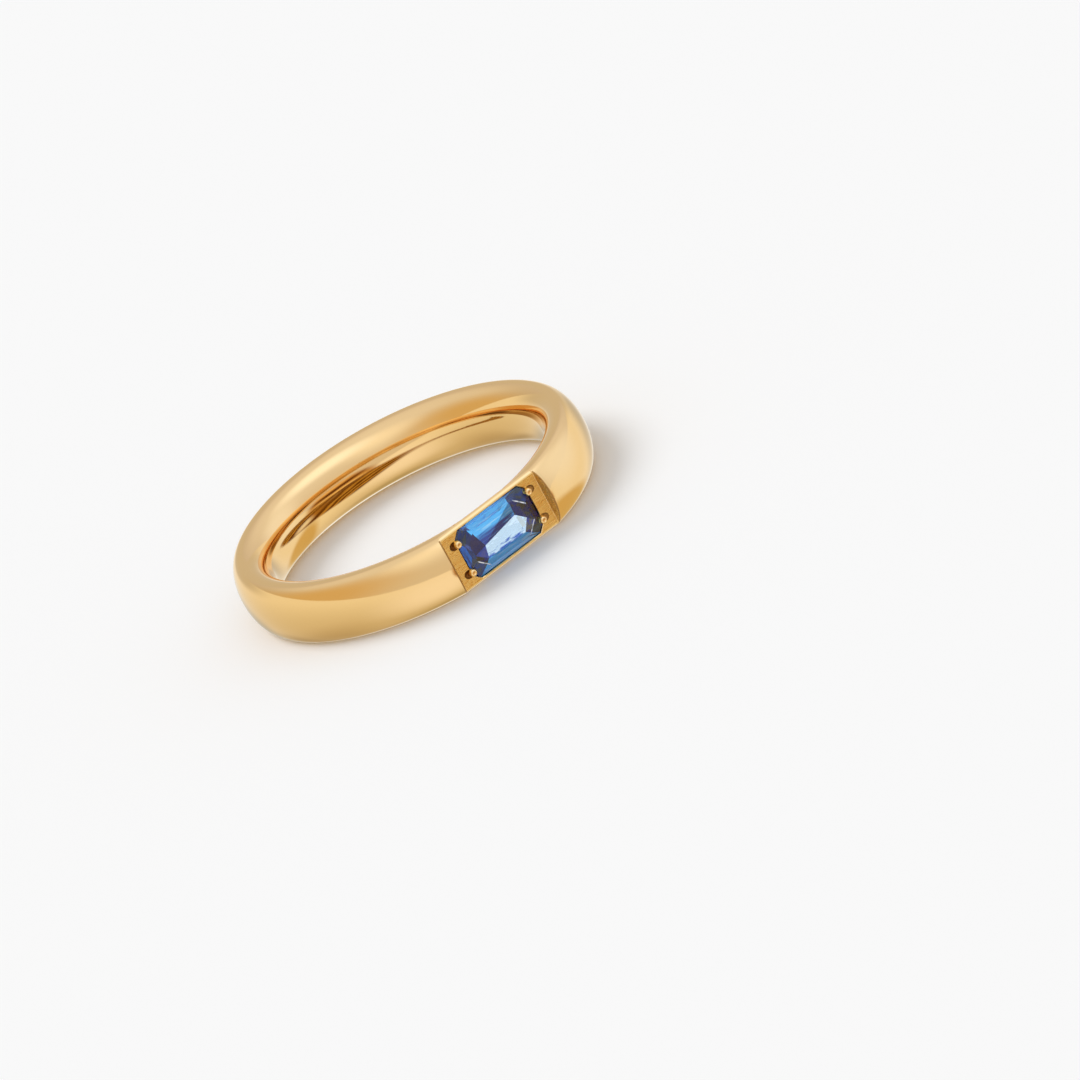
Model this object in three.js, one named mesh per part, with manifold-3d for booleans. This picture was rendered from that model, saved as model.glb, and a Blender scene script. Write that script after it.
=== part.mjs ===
// Stackable ring: a domed, comfort-fit gold band with a flat seat milled across its front,
// and a cut-corner rectangular stone that four bead claws hold in the seat.
//
// Millimetres. The ring lies on its side: its axis is +Z, it rests on z = 0,
// and the stone faces -Y.

import * as THREE from "three";
import { mergeVertices } from "three/addons/utils/BufferGeometryUtils.js";
import Module from "manifold-3d";

// Band: its section is two half ovals, back to back across a narrow flat on each side
const fingerDiameter = 16.8; // at the middle of the band, where it touches the finger
const bandThickness = 2.25;
const bandWidth = 3.6;
const domeDepth = 0.93; // from the widest part of the section out to the top of the dome
const sideFlat = 0.24; // flat ring on each side face, on which the ring rests or stacks
const domeFullness = 2.0; // exponent of the outer half oval: 2 is an ellipse, more is squarer
const insideFullness = 2.2; // the same for the inner half oval

// Seat: the flat across the front, between two end walls that point at the ring's axis
const seatLength = 6.62;
const seatDepth = 1.1; // below the top of the dome
const seatWidth = 3.2; // flat part, between its two bevelled long edges
const seatBevel = 0.8; // fall of the bevels for each millimetre outwards

// Stone: one crown step, a girdle and two pavilion steps. Heights count from the seat's flat
const stoneLength = 5.0;
const stoneWidth = 3.0;
const stoneCorner = 0.4; // leg of the cut corners, at the girdle
const tableLength = 4.06;
const tableWidth = 2.26;
const tableCorner = 0.6;
const crownHeight = 0.32; // girdle to table
const girdleDrop = 0.05; // the girdle's upper edge lies this far below the flat
const girdleThickness = 0.12;
const breakLength = 3.8; // the edge between the two pavilion steps
const breakWidth = 2.0;
const breakCorner = 0.5;
const breakDepth = 0.46; // girdle to break
const culetLength = 2.1; // the small flat at the bottom
const culetWidth = 0.3;
const culetCorner = 0.1;
const culetDepth = 0.76; // girdle to culet
const stoneClearance = 0.05; // all round the stone in its seat and under the claws

// Claws: a bead at each end of each short side, rising from the flat
const clawDiameter = 0.46;
const clawHeight = 0.3; // above the flat
const clawSpacing = 1.84; // across the band, centre to centre
const clawOverlap = 0.2; // how far a bead reaches in over the stone's short side
const clawRoot = 0.3; // below the flat

// Fineness of the curved surfaces
const bandSegments = 96;
const halfSectionSteps = 12;
const clawSegments = 14;
const clawDomeSteps = 4;
const mergeDistance = 0.0005;

// Sizes that follow from these
const outerRadius = fingerDiameter / 2 + bandThickness;
const widestRadius = outerRadius - domeDepth;
const seatRadius = outerRadius - seatDepth;
const girdleTop = -girdleDrop;
const girdleBottom = girdleTop - girdleThickness;
const clawX = stoneLength / 2 + clawDiameter / 2 - clawOverlap;

// Places the seat's own frame (x along the ring, y across it, z outwards) at the front of the band
const seatPlace = new THREE.Matrix4().makeRotationX(Math.PI / 2).setPosition(0, -seatRadius, 0);

const gold = new THREE.MeshStandardMaterial({ color: 0xe6be7d, roughness: 0.16, metalness: 1 });
const blueStone = new THREE.MeshStandardMaterial({ color: 0x2f86d6, roughness: 0.05, metalness: 0 });

const wasm = await Module();
wasm.setup();

// A closed geometry as a solid that can be joined and cut.
function solidFrom(geometry) {
  const bare = geometry.clone();
  bare.deleteAttribute("normal");
  bare.deleteAttribute("uv");
  const merged = mergeVertices(bare, mergeDistance);
  const vertProperties = merged.getAttribute("position").array;
  const triVerts = Uint32Array.from(merged.index.array);
  return new wasm.Manifold(new wasm.Mesh({ numProp: 3, vertProperties, triVerts }));
}

// A solid as a geometry that a mesh can show.
function geometryFrom(solid) {
  const { vertProperties, triVerts } = solid.getMesh();
  const geometry = new THREE.BufferGeometry();
  geometry.setAttribute("position", new THREE.BufferAttribute(vertProperties, 3));
  geometry.setIndex(new THREE.BufferAttribute(triVerts, 1));
  geometry.computeVertexNormals();
  return geometry;
}

// Half an oval as [depth, side] pairs, side running from -1 to 1 and depth from 0 up to 1 and back.
function halfOval(fullness) {
  const points = [];
  for (let step = 0; step <= halfSectionSteps; step += 1) {
    const angle = Math.PI * (step / halfSectionSteps - 0.5);
    const depth = Math.abs(Math.cos(angle)) ** (2 / fullness);
    const side = Math.sign(angle) * Math.abs(Math.sin(angle)) ** (2 / fullness);
    points.push([step % halfSectionSteps ? depth : 0, side]);
  }
  return points;
}

// The plain band, a ring with no seat, centred on the origin.
function plainBand() {
  const outerStart = widestRadius + sideFlat / 2;
  const innerStart = widestRadius - sideFlat / 2;
  const dome = halfOval(domeFullness).map(
    ([depth, side]) =>
      new THREE.Vector2(outerStart + depth * (outerRadius - outerStart), (side * bandWidth) / 2),
  );
  const inside = halfOval(insideFullness).map(
    ([depth, side]) =>
      new THREE.Vector2(innerStart - depth * (innerStart - fingerDiameter / 2), (-side * bandWidth) / 2),
  );
  const section = [...dome, ...inside, dome[0].clone()];
  return solidFrom(new THREE.LatheGeometry(section, bandSegments).rotateX(Math.PI / 2));
}

// What is milled away above the seat: a bevelled flat, between the two end walls.
function seatCutter() {
  const past = 2; // how far the cutter runs past the metal
  const reach = (outerRadius + past) / seatRadius;
  const wedge = new THREE.Shape([
    new THREE.Vector2(-seatLength / 2, -seatRadius),
    new THREE.Vector2((-reach * seatLength) / 2, -reach * seatRadius),
    new THREE.Vector2((reach * seatLength) / 2, -reach * seatRadius),
    new THREE.Vector2(seatLength / 2, -seatRadius),
    new THREE.Vector2(0, -widestRadius / 2),
  ]);
  const wedgeDepth = bandWidth + 2 * past;
  const wedgeGeometry = new THREE.ExtrudeGeometry(wedge, { depth: wedgeDepth, bevelEnabled: false });
  wedgeGeometry.translate(0, 0, -wedgeDepth / 2);

  const edge = seatWidth / 2 + past;
  const fall = past * seatBevel;
  const profile = new THREE.Shape([
    new THREE.Vector2(-edge, -fall),
    new THREE.Vector2(-seatWidth / 2, 0),
    new THREE.Vector2(seatWidth / 2, 0),
    new THREE.Vector2(edge, -fall),
    new THREE.Vector2(edge, seatDepth + past),
    new THREE.Vector2(-edge, seatDepth + past),
  ]);
  const run = reach * seatLength + past;
  const flatGeometry = new THREE.ExtrudeGeometry(profile, { depth: run, bevelEnabled: false });
  flatGeometry.translate(0, 0, -run / 2).rotateX(Math.PI / 2).rotateZ(Math.PI / 2);
  flatGeometry.applyMatrix4(seatPlace);
  return solidFrom(wedgeGeometry).intersect(solidFrom(flatGeometry));
}

// A rectangle with cut corners at one height of the seat's frame, grown outwards by growth.
function cutCorner(length, width, corner, height, growth = 0) {
  const x = length / 2 + growth;
  const y = width / 2 + growth;
  const cut = corner + (2 - Math.SQRT2) * growth;
  const outline = [
    [x, cut - y],
    [x, y - cut],
    [x - cut, y],
    [cut - x, y],
    [-x, y - cut],
    [-x, cut - y],
    [cut - x, -y],
    [x - cut, -y],
  ];
  return outline.map(([px, py]) => new THREE.Vector3(px, py, height));
}

// A closed faceted body through outlines of equal length, listed from the bottom up.
function loft(outlines) {
  const sides = outlines[0].length;
  const positions = outlines.flat().flatMap((point) => point.toArray());
  const index = [];
  for (let level = 0; level < outlines.length - 1; level += 1) {
    for (let side = 0; side < sides; side += 1) {
      const a = level * sides + side;
      const b = level * sides + ((side + 1) % sides);
      index.push(a, b, b + sides, a, b + sides, a + sides);
    }
  }
  const top = (outlines.length - 1) * sides;
  for (let side = 1; side < sides - 1; side += 1) {
    index.push(0, side + 1, side);
    index.push(top, top + side, top + side + 1);
  }
  const geometry = new THREE.BufferGeometry();
  geometry.setAttribute("position", new THREE.Float32BufferAttribute(positions, 3));
  geometry.setIndex(index);
  return geometry;
}

// The stone in the seat's frame, or the room it needs when grown by its clearance.
function stoneGeometry(growth = 0) {
  const culet = girdleBottom - culetDepth - growth;
  const pavilionBreak = girdleBottom - breakDepth - growth;
  const table = girdleTop + crownHeight + growth;
  return loft([
    cutCorner(culetLength, culetWidth, culetCorner, culet, growth),
    cutCorner(breakLength, breakWidth, breakCorner, pavilionBreak, growth),
    cutCorner(stoneLength, stoneWidth, stoneCorner, girdleBottom - growth, growth),
    cutCorner(stoneLength, stoneWidth, stoneCorner, girdleTop + growth, growth),
    cutCorner(tableLength, tableWidth, tableCorner, table, growth),
  ]);
}

// The straight way from above the seat down to the stone's girdle.
function stoneEntry() {
  const girdle = [stoneLength, stoneWidth, stoneCorner];
  return loft([
    cutCorner(...girdle, girdleBottom - stoneClearance, stoneClearance),
    cutCorner(...girdle, seatDepth, stoneClearance),
  ]);
}

// One bead claw: a short post with a round top.
function claw(x, y) {
  const radius = clawDiameter / 2;
  const shoulder = Math.max(clawHeight - radius, 0);
  const profile = [new THREE.Vector2(0, -clawRoot), new THREE.Vector2(radius, -clawRoot)];
  for (let step = 0; step <= clawDomeSteps; step += 1) {
    const angle = (Math.PI / 2) * (step / clawDomeSteps);
    const across = step < clawDomeSteps ? radius * Math.cos(angle) : 0;
    profile.push(new THREE.Vector2(across, shoulder + (clawHeight - shoulder) * Math.sin(angle)));
  }
  return new THREE.LatheGeometry(profile, clawSegments).rotateX(Math.PI / 2).translate(x, y, 0);
}

// The whole gold piece: band, seat and claws, with the room cut for the stone.
function bandSolid() {
  const stoneRoom = solidFrom(stoneGeometry(stoneClearance).applyMatrix4(seatPlace));
  const entry = solidFrom(stoneEntry().applyMatrix4(seatPlace));
  let metal = plainBand().subtract(seatCutter()).subtract(entry);
  for (const x of [-clawX, clawX]) {
    for (const y of [-clawSpacing / 2, clawSpacing / 2]) {
      metal = metal.add(solidFrom(claw(x, y).applyMatrix4(seatPlace)));
    }
  }
  return metal.subtract(stoneRoom);
}

const ring = new THREE.Group();
ring.position.z = bandWidth / 2;

const band = new THREE.Mesh(geometryFrom(bandSolid()), gold);
band.name = "band";
ring.add(band);

const head = new THREE.Group();
head.applyMatrix4(seatPlace);
ring.add(head);

const stone = new THREE.Mesh(stoneGeometry(), blueStone);
stone.name = "stone";
head.add(stone);

export default ring;
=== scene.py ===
"""The looks of a stackable ring: a polished gold band and a faceted blue stone in its milled seat.

Lengths are in millimetres in the ring's own frame until a mesh is made, and in metres from there on.
The ring lies on its side: its axis is +Z, it rests on z = 0 and the stone faces -Y.
The gold mirrors a room of soft cards in the world's shader, and one bronze card that lies on the floor.
"""

import math
from collections import namedtuple

import bmesh
import bpy
from mathutils import Matrix, Vector


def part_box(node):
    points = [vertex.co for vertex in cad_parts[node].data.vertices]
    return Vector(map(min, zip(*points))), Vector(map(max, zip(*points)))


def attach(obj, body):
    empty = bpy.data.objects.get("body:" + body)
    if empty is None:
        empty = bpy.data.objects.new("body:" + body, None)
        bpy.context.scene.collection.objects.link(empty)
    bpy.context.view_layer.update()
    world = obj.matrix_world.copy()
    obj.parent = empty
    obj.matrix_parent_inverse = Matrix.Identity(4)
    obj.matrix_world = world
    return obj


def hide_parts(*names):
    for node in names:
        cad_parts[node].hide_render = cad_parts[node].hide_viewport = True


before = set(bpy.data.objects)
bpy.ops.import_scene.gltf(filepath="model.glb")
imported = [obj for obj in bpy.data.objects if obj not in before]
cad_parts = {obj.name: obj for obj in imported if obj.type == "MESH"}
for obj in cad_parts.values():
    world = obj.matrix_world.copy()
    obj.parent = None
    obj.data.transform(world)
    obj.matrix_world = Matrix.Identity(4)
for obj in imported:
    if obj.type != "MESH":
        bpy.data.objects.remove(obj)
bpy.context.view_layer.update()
MM = 0.001

# Sizes taken from the frame
_, BAND_HIGH = (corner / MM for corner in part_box("band"))
STONE_LOW, STONE_HIGH = (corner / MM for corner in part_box("stone"))
OUTER_RADIUS = BAND_HIGH.x
BAND_WIDTH = BAND_HIGH.z
STONE_LENGTH = STONE_HIGH.x - STONE_LOW.x
STONE_WIDTH = STONE_HIGH.z - STONE_LOW.z
MIDDLE = BAND_WIDTH / 2

# The band's section, as in the model
FINGER_RADIUS = 8.4
DOME_DEPTH = 0.93
SIDE_FLAT = 0.24
DOME_FULLNESS = 2.0
INSIDE_FULLNESS = 2.2
WIDEST_RADIUS = OUTER_RADIUS - DOME_DEPTH
SHARP_ANGLE = 32

# The seat, between two end walls, whose rounded top and foot each take at most ROUND_SHARE of their height
SEAT_LENGTH = 6.62
SEAT_RADIUS = 9.55
SEAT_HALF_WIDTH = 1.6
SEAT_EDGE_ROUND = 0.3
WALL_EDGE = 0.08
WALL_CORNER = 0.03
ROUND_SHARE = 0.45
WALL_ANGLE = math.atan(SEAT_LENGTH / 2 / SEAT_RADIUS)

# The stone, in the seat's own frame: x along it, y across towards +Z and height outwards from the flat
TABLE_HEIGHT = 0.27
GIRDLE_TOP = -0.05
GIRDLE_BOTTOM = -0.17
BREAK_HEIGHT = -0.63
KEEL_HEIGHT = -0.93
STONE_CORNER = 0.4
STONE_SIDES = 8
TABLE_LENGTH, TABLE_WIDTH, TABLE_CORNER = 4.06, 2.26, 0.6
STONE_CLEARANCE = 0.05
ROOM_BREAK = (4.0, 2.2, 0.5)
ROOM_BOTTOM = (2.6, 0.8, 0.1)
ROOM_FLARE = 0.06
ROOM_LIP = 0.03
ROOM_TOP = 1.0

# Its lower facets are cut a little unevenly: the corners between the two steps, and the ends of the keel
BREAK_CORNERS = (
    (1.90, -0.40, BREAK_HEIGHT),
    (1.85, 0.40, BREAK_HEIGHT),
    (1.40, 0.95, BREAK_HEIGHT - 0.11),
    (-1.40, 0.95, BREAK_HEIGHT - 0.11),
    (-1.85, 0.35, BREAK_HEIGHT),
    (-1.80, -0.40, BREAK_HEIGHT),
    (-1.15, -0.98, BREAK_HEIGHT),
    (1.44, -1.04, BREAK_HEIGHT),
)
KEEL_ENDS = ((-0.95, -0.30, KEEL_HEIGHT + 0.11), (1.42, 0.08, KEEL_HEIGHT))

# The stone's sides, counted from its right end, which faces +X, by way of its far side, which faces +Z.
# The far and near sides reach both ends of the keel. Painted glints, thin bevels in a grey to white colour,
# lie where the table meets three of the sides
FAR_SIDE = 2
NEAR_SIDE = 6
RIGHT_SIDES = (0, 1, 7)
GLINT_SIDES = (1, 5, 7)
GLINT_WIDTH = 0.03

# The claws: beads with a cup mark on top, and a graver's cut beside each. Cup places are (radius, height),
# the floor's from the bottom of the cup up and the lip's from the top of the bead down
CLAW_RADIUS = 0.23
CLAW_HEIGHT = 0.30
CLAW_ROUND = 0.2
CLAW_OVERLAP = 0.2
CLAW_X = STONE_LENGTH / 2 + CLAW_RADIUS - CLAW_OVERLAP
CLAW_Y = 0.92
CLAW_ROOT = 0.3
CUP_RADIUS = 0.10
CUP_DEPTH = 0.07
CUP_FLOOR = (0.05, 0.008)
CUP_LIP = (0.085, 0.014)
GOUGE_OUT = 0.19
GOUGE_HEIGHT = 0.04
GOUGE_SIZE = (0.30, 0.26, 0.17)

# Fineness
DOME_COLUMNS = 72
INSIDE_COLUMNS = 40
OPEN_ROWS = 230
SEAT_ROWS = 96
FILLET_ROWS = 5
BEAD_STEPS = 7
BEAD_SEGMENTS = 24
GOUGE_STEPS = 12
GOUGE_SEGMENTS = 32
MERGE_DISTANCE = 1e-4

# The photograph's view of the ring, from the middle of the band. The clip distances are in metres
CAMERA_OFFSET = Vector((-153.3, -384.5, 165.1))
CAMERA_RIGHT = Vector((0.7451, -0.5032, -0.4377))
CAMERA_UP = Vector((0.5655, 0.1287, 0.8147))
SENSOR_WIDTH = 36.0
CAMERA_LENS = 270.33
CLIP_NEAR, CLIP_FAR = 0.01, 10.0

# Kinds of gold: polished, then cut as (name, dark colour, light colour, depth of the scratches in metres).
# The wall gold's darker colours are painted shade, and the last gold, near black, is painted shade
BAND_GOLDS_AND_SHADE = ("polished", "milled", "wall", "cut")
POLISHED_COLORS = ((0.89, 0.585, 0.245), (0.93, 0.615, 0.268))
POLISHED_ROUGHNESS = (0.045, 0.10)
SWELL_DEPTH = 3e-6
HAIR_DEPTH = 1.2e-7
CUT_ROUGHNESS = (0.2, 0.42)
CUT_AND_SHADE_GOLDS = (
    ("milled_gold", (0.95, 0.56, 0.145), (1.0, 0.71, 0.235), 1e-5),
    ("wall_gold_painted_shade", (0.72, 0.43, 0.11), (1.0, 0.65, 0.21), 1.4e-5),
    ("painted_shade_gold", (0.34, 0.15, 0.03), (0.52, 0.27, 0.08), 1.6e-5),
)

# Noises of the gold. A stretch squeezes a noise along each axis, a span is the part of it over which a look
# goes from one end to the other, and a share is its depth against that of the scratches
HAIR_STRETCH = (0.35, 9.0, 9.0)
HAIR_SCALE = 1.6
HAIR_SPAN = (0.35, 0.75)
SWELL_STRETCH = (0.16, 0.5, 0.5)
SCRATCH_STRETCH = (0.6, 6, 8)
SCRATCH_SCALE = 1.6
SCRATCH_SPAN = (0.3, 0.7)
SCRATCH_SHARE = 2.5
HATCH_STRETCH = (7, 6, 0.6)
HATCH_TURN = 0.6
HATCH_SHARE = 3
PATCH_SCALE = 0.7
PATCH_SPAN = (0.45, 0.62)
GRAIN_SCALE = 7.0

# Where each kind begins and ends: how squarely a face looks out or along the seat, how far past the edges
# of the forms it may lie in millimetres, and in radians where a wall's rounded top begins
FLAT_FACING = 0.9
WALL_FACING = 0.8
FLAT_LIFT = 0.012
FLAT_SLACK = 0.05
WALL_SLACK = 0.02
EDGE_LIFT = 0.004
FLANK_HEIGHT = 0.21
FLANK_SLACK = 0.02
WALL_EDGE_START = 0.0005

# Floor, backdrop and lamp. The floor's half side is in metres
FLOOR_HALF = 1.5
FLOOR_COLOR = (0.93, 0.93, 0.93)
BACKDROP = (0.947, 0.947, 0.947)
TENT_LIGHT = (0.70, 0.70, 0.70)
LAMP_STRENGTH = 1.30
LAMP_WIDTH = 36.0
LAMP_PLACE = (-150, 50)

# The room that the gold mirrors. It is tilted against the ring, which leaned in the photograph. A span is
# the stretch of height, from -1 straight down to 1 straight up, over which one colour goes over to the next
TENT_UP = Vector((0.333, -0.250, 0.909))
TABLE_EDGE = Vector((0.03, -0.385, 0.922))
TABLE_EDGE_RISE = 0.041
TABLE_EDGE_SOFT = 0.012
WALL_LOW = (0.78, 0.78, 0.82)
WALL_MIDDLE = (0.82, 0.86, 1.0)
WALL_TOP = (0.90, 0.97, 1.18)
TABLE_NEAR = (0.96, 0.97, 0.93)
TABLE_FAR = (0.70, 0.66, 0.55)
WALL_MIDDLE_SPAN = (-0.10, 0.65)
WALL_TOP_SPAN = (0.45, 1.0)
TABLE_SPAN = (-1.0, -0.25)

# Its cards are soft ovals. Angles are in degrees, and softness is the share of an oval over which it fades.
# The first set lies over the walls alone, the second over the table alone and the third over both
Card = namedtuple("Card", "azimuth elevation turn half_width half_height softness strength color")
WALL_CARDS = (
    Card(-165, 0, 0, 100, 52, 0.6, 1.0, (0.64, 0.62, 0.61)),
    Card(-100, 15, 0, 78, 52, 0.85, 1.0, (0.74, 0.59, 0.35)),
    Card(-22, 44, 0, 40, 46, 0.9, 0.8, (1.12, 1.20, 1.38)),
)
TABLE_CARDS = (
    Card(165, 16, 0, 58, 20, 0.6, 1.0, (0.67, 0.66, 0.62)),
    Card(-30, -38, 0, 50, 46, 0.9, 0.9, (1.06, 1.10, 1.24)),
    Card(150, -80, 0, 26, 26, 0.9, 0.8, (0.46, 0.42, 0.28)),
)
CARDS = (
    Card(42, 58, 0, 50, 30, 0.8, 1.0, (1.25, 1.45, 1.9)),
    Card(80, 8, 0, 34, 50, 0.8, 0.9, (1.02, 1.14, 1.45)),
    Card(132, -12, 0, 20, 30, 0.9, 0.9, (0.58, 0.58, 0.54)),
    Card(156, -3, 0, 11, 13, 0.9, 0.8, (1.10, 1.20, 1.38)),
    Card(174, -27, 0, 22, 11, 0.9, 0.8, (0.50, 0.50, 0.46)),
    Card(-172, -42, 0, 20, 15, 0.9, 0.9, (0.44, 0.38, 0.27)),
    Card(157, -49, 0, 19, 16, 0.6, 0.95, (1.10, 1.30, 1.7)),
    Card(98, -45, -8, 42, 13, 0.45, 0.82, (0.66, 0.48, 0.14)),
    Card(-150, -52, 0, 50, 24, 0.9, 0.8, (0.52, 0.46, 0.34)),
    Card(21, -26, 3, 37, 19, 0.3, 1.0, (0.48, 0.24, 0.05)),
    Card(21, -22, 3, 34, 4, 0.6, 1.0, (0.95, 0.70, 0.36)),
    Card(21, -17, 2, 33, 2.4, 0.6, 0.95, (0.12, 0.04, 0.01)),
    Card(24, -12, 1, 28, 2.5, 0.6, 1.0, (0.9, 0.62, 0.3)),
    Card(18, -30, 3, 33, 3, 0.6, 0.95, (0.20, 0.08, 0.01)),
)

# Further cards, low down, which only light that the gold has mirrored more than once can see
MORE_THAN_ONCE = 1.5
SECOND_CARDS = (
    Card(-100, -32, 0, 60, 32, 0.7, 0.7, (0.20, 0.12, 0.03)),
    Card(-35, -28, 0, 42, 28, 0.6, 0.95, (0.09, 0.04, 0.005)),
    Card(55, -28, 0, 30, 24, 0.8, 0.8, (0.14, 0.08, 0.02)),
)

# A bronze card flat on the floor inside the ring, which only its inner wall mirrors
BRONZE_PLACE = (0.6, 5.5)
BRONZE_RADIUS = 2.1
BRONZE_SOFT = 0.5
BRONZE_BEND = (-1.4, 3.9)
BRONZE_CLEAR = 2.85
BRONZE_CLEAR_SOFT = 0.15
BRONZE_STRIPE = 0.42
BRONZE_SPAN = (-0.6, 0.9)
BRONZE_WANDER = 0.8
BRONZE_RAGGED = 0.5
BRONZE_LIFT = 0.01
BRONZE_SEGMENTS = 64
BRONZE_DARK = (0.14, 0.05, 0.005)
BRONZE_LIGHT = (0.55, 0.31, 0.06)

# What the stone's facets send back, after the light has crossed the stone
STONE_ROOM = (1.18, 1.30, 1.50)
STONE_CARDS = (
    Card(42, 50, 0, 60, 40, 0.8, 1.0, (1.10, 1.14, 1.16)),
    Card(-22, 22, 0, 16, 16, 0.5, 1.0, (0.10, 0.10, 0.14)),
    Card(-90, -40, 0, 50, 30, 0.6, 1.0, (0.35, 0.36, 0.45)),
)

# Looks of the stone's facets: the stone's blue with painted reflections, and painted glints. Streaks run
# from one colour to the next at these places of their noise, and fade is a stretch across the stone over
# which the facet takes on another colour, a painted dark reflection
NAVY = (0.02, 0.05, 0.27)
VIOLET = (0.07, 0.07, 0.24)
AZURE = (0.14, 0.64, 0.97)
SKY = (0.48, 0.82, 0.97)
BLUE = (0.03, 0.48, 0.98)
# A painted dark reflection, which the near facets take on towards one edge
PAINTED_DARK_REFLECTION = (0.02, 0.12, 0.42)
CREAM = (0.62, 0.60, 0.53)
PALE = (0.64, 0.70, 0.72)
DEEP = (0.01, 0.26, 0.86)
OLIVE = (0.15, 0.11, 0.07)
WHITE = (0.97, 0.97, 0.97)
Facet = namedtuple("Facet", "name colors places stretch turn mirror fade")
FACET_BLUES_AND_REFLECTIONS = (
    Facet("stone_far", (BLUE, AZURE, SKY), (0.38, 0.60), (0.5, 3, 6), 0.12, 0.4, (0.52, 0.08, NAVY)),
    Facet("stone_near", (PALE, (0.78, 0.81, 0.81)), (0.55,), (0.8, 2, 3), 0.12, 1.0, (-0.88, -1.05, PAINTED_DARK_REFLECTION)),
    Facet("stone_end", (NAVY, VIOLET, DEEP), (0.45, 0.66), (1.0, 2, 2), 0.5, 0.5, None),
    Facet("stone_side", (BLUE, AZURE, SKY), (0.42, 0.59), (0.5, 3, 7), 0.0, 0.2, None),
    Facet("stone_tip", (NAVY, DEEP), (0.44,), (2.5, 2, 0.7), 0.0, 0.3, None),
    Facet("stone_corner", (NAVY, OLIVE), (0.5,), (2, 2, 2), 0.0, 0.6, None),
    Facet("stone_cream", (CREAM, PALE, (0.30, 0.31, 0.26)), (0.48, 0.60), (2, 2, 2), 0.0, 1.0, None),
    Facet("stone_glint", ((0.42, 0.46, 0.52), WHITE), (0.47,), (4, 4, 4), 0.0, 0.0, None),
)
STREAK_EDGE = 0.03
FACET_ROUGHNESS = 0.03
FACET_SHEEN = (0.25, 0.55, 1.0)
FADE_RAGGED = 1.4
GLASS_COLOR = (0.76, 0.90, 1.0)
GLASS_IOR = 1.6
GLASS_SPECULAR = 0.2
# Material slots of the stone: clear glass, then the lower facets, the stone's blue with painted
# reflections, and last the painted glints
GLASS_BLUES_AND_REFLECTIONS = ("glass", "far", "near", "end", "side", "tip", "corner", "cream", "glint")
STEP_BLUES_AND_REFLECTIONS = ("corner", "corner", "side", "corner", "tip", "corner", "side", "corner")
KEEL_BLUES_AND_REFLECTIONS = ("end", "corner", "far", "end", "end", "end", "near", "cream")

SEAT_PLACE = Matrix.Translation((0, -SEAT_RADIUS, MIDDLE)) @ Matrix.Rotation(math.pi / 2, 4, "X")


def half_oval(fullness, steps):
    """Half an oval as (depth, side) pairs, side running from -1 to 1."""
    points = []
    for step in range(steps + 1):
        angle = math.pi * (step / steps - 0.5)
        depth = abs(math.cos(angle)) ** (2 / fullness) if 0 < step < steps else 0.0
        side = math.copysign(abs(math.sin(angle)) ** (2 / fullness), angle)
        points.append((depth, side))
    return points


def band_section():
    """The plain band's section as (radius, height from the middle) pairs, once round."""
    outer_start = WIDEST_RADIUS + SIDE_FLAT / 2
    inner_start = WIDEST_RADIUS - SIDE_FLAT / 2
    points = []
    for depth, side in half_oval(DOME_FULLNESS, DOME_COLUMNS):
        points.append((outer_start + depth * (OUTER_RADIUS - outer_start), side * MIDDLE))
    for depth, side in half_oval(INSIDE_FULLNESS, INSIDE_COLUMNS):
        points.append((inner_start - depth * (inner_start - FINGER_RADIUS), -side * MIDDLE))
    return points


def seat_limit(angle, height):
    """The largest radius that the seat leaves at this angle from its middle and height on the band."""
    beyond = max(abs(height) - SEAT_HALF_WIDTH, 0.0)
    start = SEAT_HALF_WIDTH - (MIDDLE - SEAT_EDGE_ROUND)
    flat_level = math.sqrt(SEAT_EDGE_ROUND**2 - start**2)
    across = min(start + beyond, SEAT_EDGE_ROUND)
    fall = flat_level - math.sqrt(SEAT_EDGE_ROUND**2 - across**2) if beyond else 0.0
    return (SEAT_RADIUS - fall) / math.cos(angle)


def band_rows():
    """Functions of the section's point, one for each row of the band's grid, giving (angle, radius)."""
    wall_step = WALL_ANGLE * OUTER_RADIUS

    def open_row(angle):
        return lambda radius, height: (angle, radius)

    def seat_row(angle):
        return lambda radius, height: (angle, min(radius, seat_limit(angle, height)))

    def wall_row(side, turn, low):
        def place(radius, height):
            drop = max(radius - seat_limit(WALL_ANGLE, height), 0.0)
            if low:
                round_low = min(WALL_CORNER, ROUND_SHARE * drop)
                inward = WALL_CORNER * (1 - math.cos(turn))
                fall = drop - round_low * (1 - math.sin(turn))
            else:
                round_top = min(WALL_EDGE, ROUND_SHARE * drop)
                inward = WALL_EDGE * (math.sin(turn) - 1)
                fall = round_top * (1 - math.cos(turn))
            return side * (wall_step - inward) / OUTER_RADIUS, radius - fall

        return place

    turns = [math.pi / 2 * step / FILLET_ROWS for step in range(FILLET_ROWS + 1)]
    seat_end = WALL_ANGLE - WALL_CORNER / OUTER_RADIUS
    open_end = WALL_ANGLE + WALL_EDGE / OUTER_RADIUS
    rows = []
    for step in range(1, OPEN_ROWS):
        rows.append(open_row(open_end + (2 * math.pi - 2 * open_end) * step / OPEN_ROWS))
    rows += [wall_row(-1, turn, False) for turn in turns]
    rows += [wall_row(-1, turn, True) for turn in turns]
    for step in range(1, SEAT_ROWS):
        rows.append(seat_row(seat_end * (2 * step / SEAT_ROWS - 1)))
    rows += [wall_row(1, turn, True) for turn in reversed(turns)]
    rows += [wall_row(1, turn, False) for turn in reversed(turns)]
    return rows


def ring_point(angle, radius, height):
    """A point of the ring from its angle away from the seat's middle, radius and height, in metres."""
    place = Vector((radius * math.sin(angle), -radius * math.cos(angle), height + MIDDLE))
    return place * MM


def object_from(name, mesh_data):
    """A mesh object in the scene from a bmesh, which is freed."""
    mesh = bpy.data.meshes.new(name)
    mesh_data.to_mesh(mesh)
    mesh_data.free()
    made = bpy.data.objects.new(name, mesh)
    bpy.context.scene.collection.objects.link(made)
    return made


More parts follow.
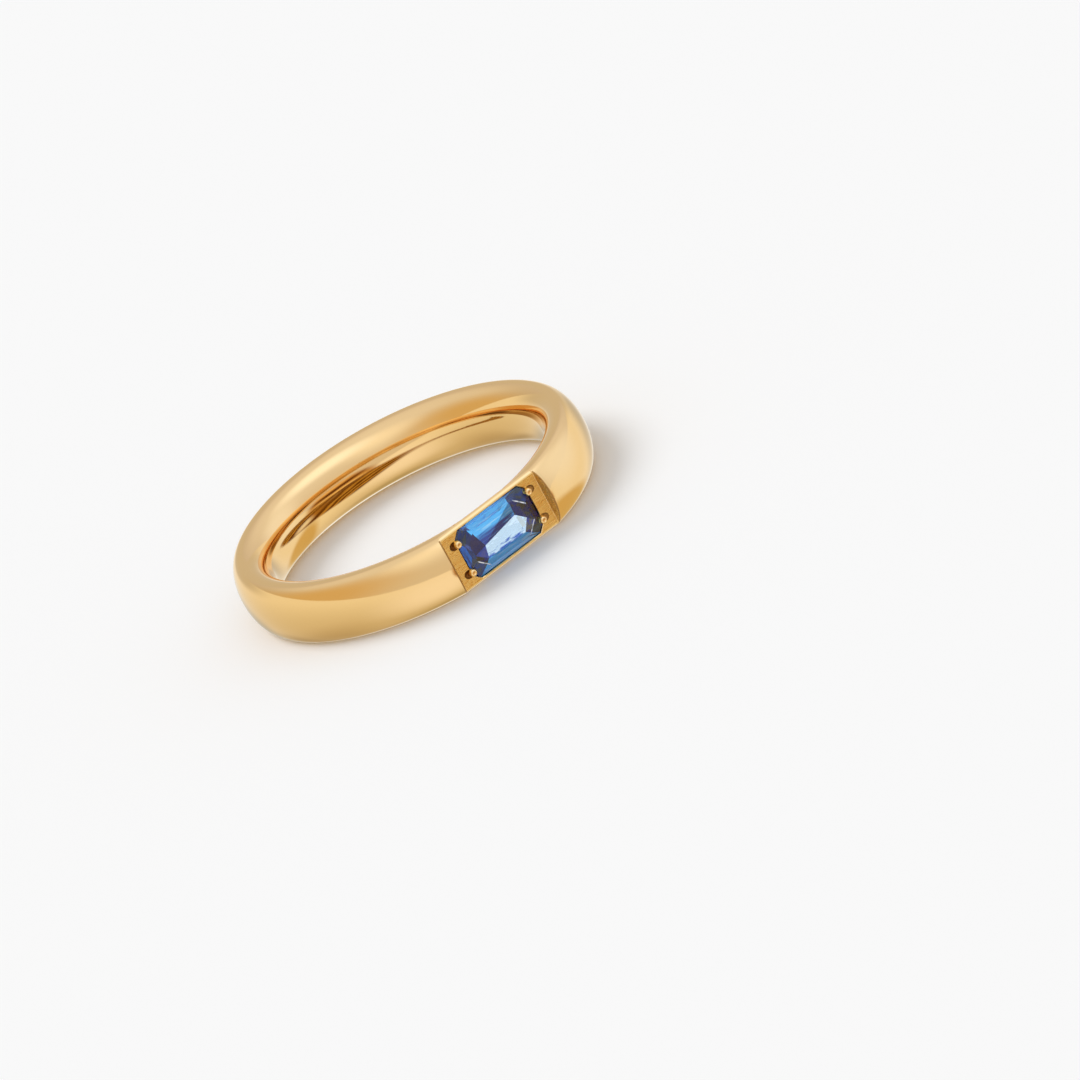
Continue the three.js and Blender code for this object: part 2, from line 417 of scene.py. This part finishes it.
def plain_band():
    """The band with its seat as a closed grid, before the stone's room is cut."""
    section = band_section()
    grid = bmesh.new()
    rings = []
    for row in band_rows():
        ring = []
        for radius, height in section:
            angle, seat_radius = row(radius, height)
            ring.append(grid.verts.new(ring_point(angle, seat_radius, height)))
        rings.append(ring)
    for index, ring in enumerate(rings):
        following = rings[(index + 1) % len(rings)]
        for column, point in enumerate(ring):
            after = (column + 1) % len(ring)
            grid.faces.new((point, ring[after], following[after], following[column]))
    bmesh.ops.remove_doubles(grid, verts=grid.verts, dist=MERGE_DISTANCE * MM)
    bmesh.ops.recalc_face_normals(grid, faces=grid.faces)
    return object_from("band_polished", grid)


def cut_corner(length, width, corner, growth=0.0):
    """A rectangle with cut corners as eight (x, y) points, grown outwards."""
    x = length / 2 + growth
    y = width / 2 + growth
    cut = corner + (2 - math.sqrt(2)) * growth
    return [
        (x, cut - y),
        (x, y - cut),
        (x - cut, y),
        (cut - x, y),
        (-x, y - cut),
        (-x, cut - y),
        (cut - x, -y),
        (x - cut, -y),
    ]


def loft(levels):
    """A closed faceted bmesh through eight-sided (outline, height) levels of the seat's frame."""
    body = bmesh.new()
    rings = []
    for outline, height in levels:
        rings.append([body.verts.new(SEAT_PLACE @ Vector((x, y, height)) * MM) for x, y in outline])
    for lower, upper in zip(rings, rings[1:]):
        for side, point in enumerate(lower):
            after = (side + 1) % len(lower)
            body.faces.new((point, lower[after], upper[after], upper[side]))
    body.faces.new(list(reversed(rings[0])))
    body.faces.new(rings[-1])
    bmesh.ops.recalc_face_normals(body, faces=body.faces)
    return body


def stone_room():
    """What is cut from the band for the stone: its lower steps and girdle with clearance, open upwards."""
    girdle = (STONE_LENGTH, STONE_WIDTH, STONE_CORNER)
    shaft = cut_corner(*girdle, STONE_CLEARANCE)
    flared = cut_corner(*girdle, STONE_CLEARANCE + ROOM_FLARE)
    return object_from("stone_room", loft([
        (cut_corner(*ROOM_BOTTOM), KEEL_HEIGHT - STONE_CLEARANCE),
        (cut_corner(*ROOM_BREAK), BREAK_HEIGHT - STONE_CLEARANCE),
        (shaft, GIRDLE_BOTTOM - STONE_CLEARANCE),
        (shaft, -ROOM_LIP),
        (flared, ROOM_LIP),
        (flared, ROOM_TOP),
    ]))


def combined(target, cutter, operation):
    """Joins or cuts target by cutter, and deletes the cutter."""
    change = target.modifiers.new("combine", "BOOLEAN")
    change.operation = operation
    change.object = cutter
    change.solver = "MANIFOLD"
    bpy.context.view_layer.update()
    evaluated = target.evaluated_get(bpy.context.evaluated_depsgraph_get())
    mesh = bpy.data.meshes.new_from_object(evaluated)
    target.modifiers.clear()
    target.data = mesh
    bpy.data.objects.remove(cutter)


def lathe_points(body, profile, place, segments):
    """Adds a turned body to a bmesh: profile is (radius, height) from the axis out and back to it."""
    rings = []
    for radius, height in profile:
        if radius == 0:
            rings.append([body.verts.new(place @ Vector((0, 0, height)) * MM)])
            continue
        ring = []
        for step in range(segments):
            turn = 2 * math.pi * step / segments
            spot = Vector((radius * math.cos(turn), radius * math.sin(turn), height))
            ring.append(body.verts.new(place @ spot * MM))
        rings.append(ring)
    for lower, upper in zip(rings, rings[1:]):
        for step in range(segments):
            after = (step + 1) % segments
            corners = []
            for ring in ((lower, step), (lower, after), (upper, after), (upper, step)):
                point = ring[0][ring[1] % len(ring[0])]
                if point not in corners:
                    corners.append(point)
            if len(corners) > 2:
                body.faces.new(corners)


def claw_places():
    """The middle of each claw in the seat's frame, and the way out from the stone along x."""
    return [(side * CLAW_X, y, side) for side in (-1, 1) for y in (-CLAW_Y, CLAW_Y)]


def claw_beads():
    """The four beads, each a short post with a round top and a small cup mark."""
    beads = bmesh.new()
    shoulder = CLAW_HEIGHT - CLAW_ROUND
    profile = [
        (0.0, CLAW_HEIGHT - CUP_DEPTH),
        (CUP_FLOOR[0], CLAW_HEIGHT - CUP_DEPTH + CUP_FLOOR[1]),
        (CUP_LIP[0], CLAW_HEIGHT - CUP_LIP[1]),
    ]
    for step in range(BEAD_STEPS + 1):
        turn = math.pi / 2 * step / BEAD_STEPS
        radius = CUP_RADIUS + (CLAW_RADIUS - CUP_RADIUS) * math.sin(turn)
        profile.append((radius, shoulder + (CLAW_HEIGHT - shoulder) * math.cos(turn)))
    profile += [(CLAW_RADIUS, -CLAW_ROOT), (0.0, -CLAW_ROOT)]
    for x, y, _ in claw_places():
        place = SEAT_PLACE @ Matrix.Translation((x, y, 0))
        lathe_points(beads, profile, place, BEAD_SEGMENTS)
    bmesh.ops.recalc_face_normals(beads, faces=beads.faces)
    return object_from("beads", beads)


def claw_gouges():
    """What the graver took out beside each bead, on its outer side."""
    gouges = bmesh.new()
    profile = []
    for step in range(GOUGE_STEPS + 1):
        turn = math.pi * step / GOUGE_STEPS
        profile.append((math.sin(turn) if 0 < step < GOUGE_STEPS else 0.0, math.cos(turn)))
    for x, y, side in claw_places():
        middle = Matrix.Translation((x + side * GOUGE_OUT, y, GOUGE_HEIGHT))
        place = SEAT_PLACE @ (middle @ Matrix.Diagonal((*GOUGE_SIZE, 1)))
        lathe_points(gouges, profile, place, GOUGE_SEGMENTS)
    bmesh.ops.recalc_face_normals(gouges, faces=gouges.faces)
    return object_from("gouges", gouges)


def dressed_band():
    """The whole gold piece, as one closed body."""
    band = plain_band()
    combined(band, stone_room(), "DIFFERENCE")
    combined(band, claw_gouges(), "DIFFERENCE")
    combined(band, claw_beads(), "UNION")
    combined(band, stone_body(STONE_CLEARANCE), "DIFFERENCE")
    for face in band.data.polygons:
        face.use_smooth = True
    band.data.set_sharp_from_angle(angle=math.radians(SHARP_ANGLE))
    band.data.materials.clear()
    return band


def faceted_stone():
    """The stone as a closed faceted body, each face marked with the look that its place has: clear glass,
    the stone's blue with painted reflections, and painted glints.
    """
    body = bmesh.new()
    girdle = cut_corner(STONE_LENGTH, STONE_WIDTH, STONE_CORNER)
    table = cut_corner(TABLE_LENGTH, TABLE_WIDTH, TABLE_CORNER)
    levels = ((girdle, GIRDLE_BOTTOM), (girdle, GIRDLE_TOP), (table, TABLE_HEIGHT))
    corners = [body.verts.new(SEAT_PLACE @ Vector(place) * MM) for place in BREAK_CORNERS]
    rings = [corners]
    for outline, height in levels:
        rings.append([body.verts.new(SEAT_PLACE @ Vector((x, y, height)) * MM) for x, y in outline])
    left, right = (body.verts.new(SEAT_PLACE @ Vector(place) * MM) for place in KEEL_ENDS)

    def facet(points, facet_look):
        body.faces.new(points).material_index = GLASS_BLUES_AND_REFLECTIONS.index(facet_look)

    for side, facet_look in enumerate(STEP_BLUES_AND_REFLECTIONS):
        after = (side + 1) % STONE_SIDES
        facet((corners[side], corners[after], rings[1][after], rings[1][side]), facet_look)
        for lower, upper in zip(rings[1:], rings[2:]):
            facet((lower[side], lower[after], upper[after], upper[side]), "glass")
    facet(rings[-1], "glass")
    for side, facet_look in enumerate(KEEL_BLUES_AND_REFLECTIONS):
        after = (side + 1) % STONE_SIDES
        if side == FAR_SIDE:
            facet((corners[side], corners[after], left), facet_look)
            facet((corners[side], left, right), facet_look)
        elif side == NEAR_SIDE:
            facet((corners[side], corners[after], right), facet_look)
            facet((corners[side], right, left), facet_look)
        else:
            facet((corners[side], corners[after], right if side in RIGHT_SIDES else left), facet_look)
    bmesh.ops.recalc_face_normals(body, faces=body.faces)
    # Painted glints: thin bevels along three of the table's edges, coloured grey to white
    rim = rings[-1]
    cut_edges = [body.edges.get((rim[side], rim[(side + 1) % STONE_SIDES])) for side in GLINT_SIDES]
    glint = GLASS_BLUES_AND_REFLECTIONS.index("glint")
    offset = GLINT_WIDTH * MM
    bmesh.ops.bevel(body, geom=cut_edges, offset=offset, segments=1, affect="EDGES", material=glint)
    return object_from("stone_faceted", body)


def stone_body(growth):
    """The stone's crown and girdle grown outwards, to clear the claws from it."""
    girdle = cut_corner(STONE_LENGTH, STONE_WIDTH, STONE_CORNER, growth)
    table = cut_corner(TABLE_LENGTH, TABLE_WIDTH, TABLE_CORNER, growth)
    return object_from("stone_clearance", loft([
        (girdle, GIRDLE_BOTTOM - growth),
        (girdle, GIRDLE_TOP + growth),
        (table, TABLE_HEIGHT + growth),
    ]))


def principled(name):
    """A new material, with its node tree and its shader."""
    material = bpy.data.materials.new(name)
    material.use_nodes = True
    tree = material.node_tree
    return material, tree, tree.nodes["Principled BSDF"]


def fill(tree, node, values):
    """Sets a node's inputs to numbers or links them to sockets, by name or index."""
    for name, value in values.items():
        if isinstance(value, bpy.types.NodeSocket):
            tree.links.new(value, node.inputs[name])
        else:
            node.inputs[name].default_value = value
    return node


def maths(tree, operation, *values):
    """The outcome of one operation on numbers or sockets."""
    node = tree.nodes.new("ShaderNodeMath")
    node.operation = operation
    return fill(tree, node, dict(enumerate(values))).outputs[0]


def vector_maths(tree, operation, *values):
    """The outcome of one operation on places or directions."""
    node = tree.nodes.new("ShaderNodeVectorMath")
    node.operation = operation
    fill(tree, node, dict(enumerate(values)))
    return node.outputs["Value" if operation in ("DOT_PRODUCT", "LENGTH") else "Vector"]


def hypotenuse(tree, first, second):
    """The root of the sum of two squares."""
    squares = [maths(tree, "MULTIPLY", side, side) for side in (first, second)]
    return maths(tree, "SQRT", maths(tree, "ADD", *squares))


def soft_step(tree, value, start, end, low=0.0, high=1.0):
    """Goes smoothly from low to high as value goes from start to end."""
    node = tree.nodes.new("ShaderNodeMapRange")
    node.interpolation_type = "SMOOTHSTEP"
    settings = {"Value": value, "From Min": start, "From Max": end, "To Min": low, "To Max": high}
    return fill(tree, node, settings).outputs["Result"]


def mix_color(tree, factor, first, second):
    """Goes from the first colour to the second. The node takes them at 6 and 7 and answers at 2."""
    node = tree.nodes.new("ShaderNodeMix")
    node.data_type = "RGBA"
    fill(tree, node, {0: factor, 6: opaque(first), 7: opaque(second)})
    return node.outputs[2]


def opaque(color):
    """A colour with its fourth part, or a socket as it is."""
    return color if isinstance(color, bpy.types.NodeSocket) else (*color, 1.0)


def millimetres(tree, stretch=(1, 1, 1), turn=0.0):
    """The place on the piece in millimetres, turned about Y and squeezed along each axis."""
    place = tree.nodes.new("ShaderNodeTexCoord").outputs["Object"]
    mapping = tree.nodes.new("ShaderNodeMapping")
    scale = [part / MM for part in stretch]
    return fill(tree, mapping, {"Vector": place, "Rotation": (0, turn, 0), "Scale": scale}).outputs[0]


def around_band(tree, stretch):
    """The place on the band unrolled: along its circle, across it and outwards, in millimetres."""
    place = tree.nodes.new("ShaderNodeSeparateXYZ")
    fill(tree, place, {0: millimetres(tree)})
    x, y, z = place.outputs
    along = maths(tree, "MULTIPLY", maths(tree, "ARCTAN2", x, y), OUTER_RADIUS * stretch[0])
    radius = hypotenuse(tree, x, y)
    joined = tree.nodes.new("ShaderNodeCombineXYZ")
    across = maths(tree, "MULTIPLY", z, stretch[1])
    outwards = maths(tree, "MULTIPLY", radius, stretch[2])
    return fill(tree, joined, {0: along, 1: across, 2: outwards}).outputs[0]


def noise(tree, place, scale, detail=2.0, roughness=0.5):
    """Smooth noise over a place, around 0.5."""
    node = tree.nodes.new("ShaderNodeTexNoise")
    settings = {"Vector": place, "Scale": scale, "Detail": detail, "Roughness": roughness}
    return fill(tree, node, settings).outputs["Fac"]


def bumped(tree, shader, heights):
    """Adds bumps one on another: each is (height socket, depth in metres)."""
    normal = None
    for height, depth in heights:
        bump = tree.nodes.new("ShaderNodeBump")
        fill(tree, bump, {"Height": height, "Strength": 1.0, "Distance": depth})
        if normal is not None:
            tree.links.new(normal, bump.inputs["Normal"])
        normal = bump.outputs[0]
    tree.links.new(normal, shader.inputs["Normal"])


def polished_gold():
    """Mirror polish with a faint swell and hair scratches round the band."""
    material, tree, shader = principled("polished_gold")
    hair = noise(tree, around_band(tree, HAIR_STRETCH), scale=HAIR_SCALE, detail=4.0)
    swell = noise(tree, around_band(tree, SWELL_STRETCH), scale=1.0, detail=1.0)
    shader.inputs["Metallic"].default_value = 1.0
    fill(tree, shader, {
        "Base Color": mix_color(tree, swell, *POLISHED_COLORS),
        "Roughness": soft_step(tree, hair, *HAIR_SPAN, *POLISHED_ROUGHNESS),
    })
    bumped(tree, shader, [(swell, SWELL_DEPTH), (hair, HAIR_DEPTH)])
    return material


def milled_gold(name, dark, light, depth):
    """Cut gold, finely scratched along the seat and hatched across it here and there."""
    material, tree, shader = principled(name)
    scratches_run = millimetres(tree, SCRATCH_STRETCH)
    scratches = noise(tree, scratches_run, scale=SCRATCH_SCALE, detail=6.0, roughness=0.65)
    hatch_run = millimetres(tree, HATCH_STRETCH, HATCH_TURN)
    hatch = noise(tree, hatch_run, scale=1.0, detail=4.0, roughness=0.6)
    patches = soft_step(tree, noise(tree, millimetres(tree), scale=PATCH_SCALE), *PATCH_SPAN)
    grain = noise(tree, millimetres(tree), scale=GRAIN_SCALE, detail=3.0)
    shader.inputs["Metallic"].default_value = 1.0
    fill(tree, shader, {
        "Base Color": mix_color(tree, grain, dark, light),
        "Roughness": soft_step(tree, scratches, *SCRATCH_SPAN, *CUT_ROUGHNESS),
    })
    hatched = maths(tree, "MULTIPLY", hatch, patches)
    bumped(tree, shader, [
        (scratches, SCRATCH_SHARE * depth),
        (hatched, HATCH_SHARE * depth),
        (grain, depth),
    ])
    return material


def glass_material():
    """The clear crown of the stone."""
    material, _, shader = principled("blue_glass")
    shader.inputs["Base Color"].default_value = opaque(GLASS_COLOR)
    shader.inputs["Roughness"].default_value = 0.0
    shader.inputs["IOR"].default_value = GLASS_IOR
    shader.inputs["Specular IOR Level"].default_value = GLASS_SPECULAR
    shader.inputs["Transmission Weight"].default_value = 1.0
    return material


def facet_material(facet):
    """A mirror-like lower facet, streaked by stretched noise from one colour to the next: the stone's blue
    with painted reflections.
    """
    material, tree, shader = principled(facet.name)
    streaks_run = millimetres(tree, facet.stretch, facet.turn)
    streak = noise(tree, streaks_run, scale=1.0, detail=3.0, roughness=0.55)
    color = facet.colors[0]
    for following, place in zip(facet.colors[1:], facet.places):
        share = soft_step(tree, streak, place - STREAK_EDGE, place + STREAK_EDGE)
        color = mix_color(tree, share, color, following)
    # The fade paints a dark reflection over the facet towards one edge
    if facet.fade:
        place = tree.nodes.new("ShaderNodeSeparateXYZ")
        fill(tree, place, {0: millimetres(tree)})
        ragged = maths(tree, "ADD", place.outputs["Z"], maths(tree, "MULTIPLY", streak, FADE_RAGGED))
        start, end, faded = facet.fade
        offset = MIDDLE + FADE_RAGGED / 2
        color = mix_color(tree, soft_step(tree, ragged, end + offset, start + offset), faded, color)
    shader.inputs["Metallic"].default_value = facet.mirror
    shader.inputs["Roughness"].default_value = FACET_ROUGHNESS
    shader.inputs["Specular Tint"].default_value = opaque(FACET_SHEEN)
    fill(tree, shader, {"Base Color": opaque(color)})
    return material


def in_gouge(x, y, out):
    """Whether a place of the seat's frame lies in a graver's cut."""
    if not -GOUGE_SIZE[2] < out < -EDGE_LIFT:
        return False
    for claw_x, claw_y, side in claw_places():
        across = (x - claw_x - side * GOUGE_OUT) / GOUGE_SIZE[0]
        along = (y - claw_y) / GOUGE_SIZE[1]
        if math.hypot(across, along) < 1.0:
            return True
    return False


def on_flank(x, y, out):
    """Whether a place of the seat's frame is on the side of a bead, under its round top."""
    if not EDGE_LIFT < out < FLANK_HEIGHT:
        return False
    reach = CLAW_RADIUS + FLANK_SLACK
    return any(math.hypot(x - claw_x, y - claw_y) < reach for claw_x, claw_y, _ in claw_places())


def band_gold_and_shade(face):
    """The kind of gold that a face of the band has, by its place and normal; the wall and cut golds are
    painted shade.
    """
    x, y, z = face.center / MM
    across = z - MIDDLE
    out = -y - SEAT_RADIUS
    in_seat = y < 0 and abs(x) < SEAT_LENGTH / 2 + FLAT_SLACK and out < FLAT_LIFT
    flat = face.normal.y < -FLAT_FACING and abs(across) < SEAT_HALF_WIDTH + FLAT_SLACK
    at_end = -WALL_SLACK < out and SEAT_LENGTH / 2 - WALL_SLACK < abs(x)
    wall = at_end and abs(face.normal.x) > WALL_FACING
    past_wall = math.atan2(abs(x), -y) - WALL_ANGLE
    # Painted shade: a near-black line of cut gold along the walls' rounded tops, and near-black cut gold in
    # the graver's cuts
    painted_shade_line = WALL_EDGE_START < past_wall < WALL_EDGE / OUTER_RADIUS and out > 0
    if painted_shade_line or in_gouge(x, across, out):
        return "cut"
    # Painted shade: the darker wall gold on the end walls and round the feet of the beads
    if wall or on_flank(x, across, out):
        return "wall"
    return "milled" if in_seat and flat else "polished"


def finish_band(band):
    """Gives the band its gold: milled on the seat, and painted shade as darker gold on its end walls and
    round the feet of the beads, and as near-black gold in the graver's cuts and along the walls' rounded
    tops.
    """
    band.data.materials.append(polished_gold())
    for look in CUT_AND_SHADE_GOLDS:
        band.data.materials.append(milled_gold(*look))
    for face in band.data.polygons:
        face.material_index = BAND_GOLDS_AND_SHADE.index(band_gold_and_shade(face))


def finish_stone(stone):
    """Gives the stone clear glass above its girdle, and below it streaked blue mirrors whose colours hold
    painted reflections, with painted glints on the table's edges.
    """
    stone.data.materials.append(glass_material())
    for facet in FACET_BLUES_AND_REFLECTIONS:
        stone.data.materials.append(facet_material(facet))


def make_floor():
    """A plain pale floor, which neither the gold nor the glass mirrors."""
    plate = bmesh.new()
    corners = [(-1, -1), (1, -1), (1, 1), (-1, 1)]
    plate.faces.new([plate.verts.new((x * FLOOR_HALF, y * FLOOR_HALF, 0)) for x, y in corners])
    floor = object_from("floor", plate)
    material, _, shader = principled("pale_floor")
    shader.inputs["Base Color"].default_value = opaque(FLOOR_COLOR)
    shader.inputs["Roughness"].default_value = 1.0
    shader.inputs["Specular IOR Level"].default_value = 0.0
    floor.data.materials.append(material)
    floor.visible_glossy = False
    floor.visible_transmission = False


def striped_bronze():
    """Glows bronze in stripes that bend round one point, and is clear towards its rim and that point."""
    material = bpy.data.materials.new("striped_bronze")
    material.use_nodes = True
    tree = material.node_tree
    tree.nodes.clear()
    place = millimetres(tree)
    from_middle = vector_maths(tree, "LENGTH", vector_maths(tree, "SUBTRACT", place, (*BRONZE_PLACE, 0)))
    from_bend = vector_maths(tree, "LENGTH", vector_maths(tree, "SUBTRACT", place, (*BRONZE_BEND, 0)))
    wander = noise(tree, place, scale=BRONZE_WANDER, detail=1.0)
    ragged = maths(tree, "ADD", from_bend, maths(tree, "MULTIPLY", wander, BRONZE_RAGGED))
    wave = maths(tree, "SINE", maths(tree, "MULTIPLY", ragged, 2 * math.pi / BRONZE_STRIPE))
    color = mix_color(tree, soft_step(tree, wave, *BRONZE_SPAN), BRONZE_DARK, BRONZE_LIGHT)
    inside = soft_step(tree, from_middle, BRONZE_RADIUS, BRONZE_RADIUS - BRONZE_SOFT)
    beyond = soft_step(tree, from_bend, BRONZE_CLEAR, BRONZE_CLEAR + BRONZE_CLEAR_SOFT)
    share = maths(tree, "MULTIPLY", inside, beyond)
    glow = tree.nodes.new("ShaderNodeEmission")
    clear = tree.nodes.new("ShaderNodeBsdfTransparent")
    blend = tree.nodes.new("ShaderNodeMixShader")
    output = tree.nodes.new("ShaderNodeOutputMaterial")
    fill(tree, glow, {"Color": color})
    fill(tree, blend, {0: share, 1: clear.outputs[0], 2: glow.outputs[0]})
    fill(tree, output, {"Surface": blend.outputs[0]})
    return material


def make_bronze_card():
    """The card on the floor, seen only as a reflection."""
    disc = bmesh.new()
    place = Matrix.Translation(Vector((*BRONZE_PLACE, BRONZE_LIFT)) * MM)
    radius = BRONZE_RADIUS * MM
    bmesh.ops.create_circle(disc, cap_ends=True, segments=BRONZE_SEGMENTS, radius=radius, matrix=place)
    card = object_from("bronze_card", disc)
    card.data.materials.append(striped_bronze())
    card.visible_camera = False
    card.visible_diffuse = False
    card.visible_transmission = False
    card.visible_shadow = False


def direction_of(azimuth, elevation):
    """A direction of the ring's frame. Azimuth 0 is -Y, where the stone faces, and 90 is +X."""
    a = math.radians(azimuth)
    e = math.radians(elevation)
    return Vector((math.sin(a) * math.cos(e), -math.cos(a) * math.cos(e), math.sin(e)))


def card_radius(tree, looked, card):
    """How far a looked-at direction is from a card's middle: 1 on the rim of its oval."""
    ahead = direction_of(card.azimuth, card.elevation)
    side = direction_of(card.azimuth + 90, 0)
    side.rotate(Matrix.Rotation(math.radians(card.turn), 3, ahead))
    up = side.cross(ahead)
    level = vector_maths(tree, "DOT_PRODUCT", looked, up)
    right = vector_maths(tree, "DOT_PRODUCT", looked, side)
    forward = vector_maths(tree, "DOT_PRODUCT", looked, ahead)
    across = maths(tree, "DIVIDE", maths(tree, "ARCTAN2", right, forward), math.radians(card.half_width))
    along = maths(tree, "DIVIDE", maths(tree, "ARCSINE", level), math.radians(card.half_height))
    return hypotenuse(tree, across, along)


def with_cards(tree, looked, color, cards):
    """Lays cards over a colour, each over those before it."""
    for card in cards:
        radius = card_radius(tree, looked, card)
        share = soft_step(tree, radius, 1.0, 1.0 - card.softness, 0.0, card.strength)
        color = mix_color(tree, share, color, card.color)
    return color


def room_color(tree, looked):
    """What the gold mirrors: a pale room, a table whose edge shows as a line, and soft cards."""
    rise = vector_maths(tree, "DOT_PRODUCT", looked, TENT_UP)
    over_table = vector_maths(tree, "DOT_PRODUCT", looked, TABLE_EDGE.normalized())
    walls = mix_color(tree, soft_step(tree, rise, *WALL_MIDDLE_SPAN), WALL_LOW, WALL_MIDDLE)
    walls = mix_color(tree, soft_step(tree, rise, *WALL_TOP_SPAN), walls, WALL_TOP)
    table = mix_color(tree, soft_step(tree, rise, *TABLE_SPAN), TABLE_FAR, TABLE_NEAR)
    edge_low, edge_high = TABLE_EDGE_RISE - TABLE_EDGE_SOFT, TABLE_EDGE_RISE + TABLE_EDGE_SOFT
    edge = soft_step(tree, over_table, edge_low, edge_high)
    walls = with_cards(tree, looked, walls, WALL_CARDS)
    table = with_cards(tree, looked, table, TABLE_CARDS)
    return with_cards(tree, looked, mix_color(tree, edge, table, walls), CARDS)


def make_world():
    """One light for each kind of ray: the backdrop, the room, what the stone sends back and plain light."""
    world = bpy.data.worlds.new("studio")
    bpy.context.scene.world = world
    world.use_nodes = True
    tree = world.node_tree
    tree.nodes.clear()
    looked = tree.nodes.new("ShaderNodeTexCoord").outputs["Generated"]
    paths = tree.nodes.new("ShaderNodeLightPath")
    room = room_color(tree, looked)
    again = maths(tree, "GREATER_THAN", paths.outputs["Glossy Depth"], MORE_THAN_ONCE)
    room = mix_color(tree, again, room, with_cards(tree, looked, room, SECOND_CARDS))
    light = mix_color(tree, paths.outputs["Is Glossy Ray"], TENT_LIGHT, room)
    through_stone = with_cards(tree, looked, STONE_ROOM, STONE_CARDS)
    light = mix_color(tree, paths.outputs["Is Transmission Ray"], light, through_stone)
    color = mix_color(tree, paths.outputs["Is Camera Ray"], light, BACKDROP)
    background = tree.nodes.new("ShaderNodeBackground")
    output = tree.nodes.new("ShaderNodeOutputWorld")
    fill(tree, background, {"Color": color})
    fill(tree, output, {"Surface": background.outputs[0]})


def make_lamp():
    """A broad soft lamp overhead, which the gold mirrors as a card of the room and not as itself."""
    lamp = bpy.data.lights.new("softbox", "SUN")
    lamp.energy = LAMP_STRENGTH
    lamp.angle = math.radians(LAMP_WIDTH)
    holder = bpy.data.objects.new("softbox", lamp)
    bpy.context.scene.collection.objects.link(holder)
    holder.rotation_euler = direction_of(*LAMP_PLACE).to_track_quat("Z", "Y").to_euler()
    holder.visible_glossy = False
    holder.visible_transmission = False


def make_camera():
    """The camera at the photograph's angle to the ring."""
    lens = bpy.data.cameras.new("camera")
    lens.sensor_width = SENSOR_WIDTH
    lens.lens = CAMERA_LENS
    lens.clip_start = CLIP_NEAR
    lens.clip_end = CLIP_FAR
    camera = bpy.data.objects.new("camera", lens)
    bpy.context.scene.collection.objects.link(camera)
    right = CAMERA_RIGHT.normalized()
    back = right.cross(CAMERA_UP).normalized()
    turn = Matrix((right, back.cross(right), back)).transposed()
    place = (Vector((0, 0, MIDDLE)) + CAMERA_OFFSET) * MM
    camera.matrix_world = Matrix.Translation(place) @ turn.to_4x4()
    bpy.context.scene.camera = camera


make_camera()
make_world()
make_lamp()
make_floor()
make_bronze_card()

band = dressed_band()
finish_band(band)
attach(band, "root")
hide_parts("band")

stone = faceted_stone()
finish_stone(stone)
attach(stone, "root")
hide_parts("stone")

bpy.context.scene.view_settings.view_transform = "Standard"
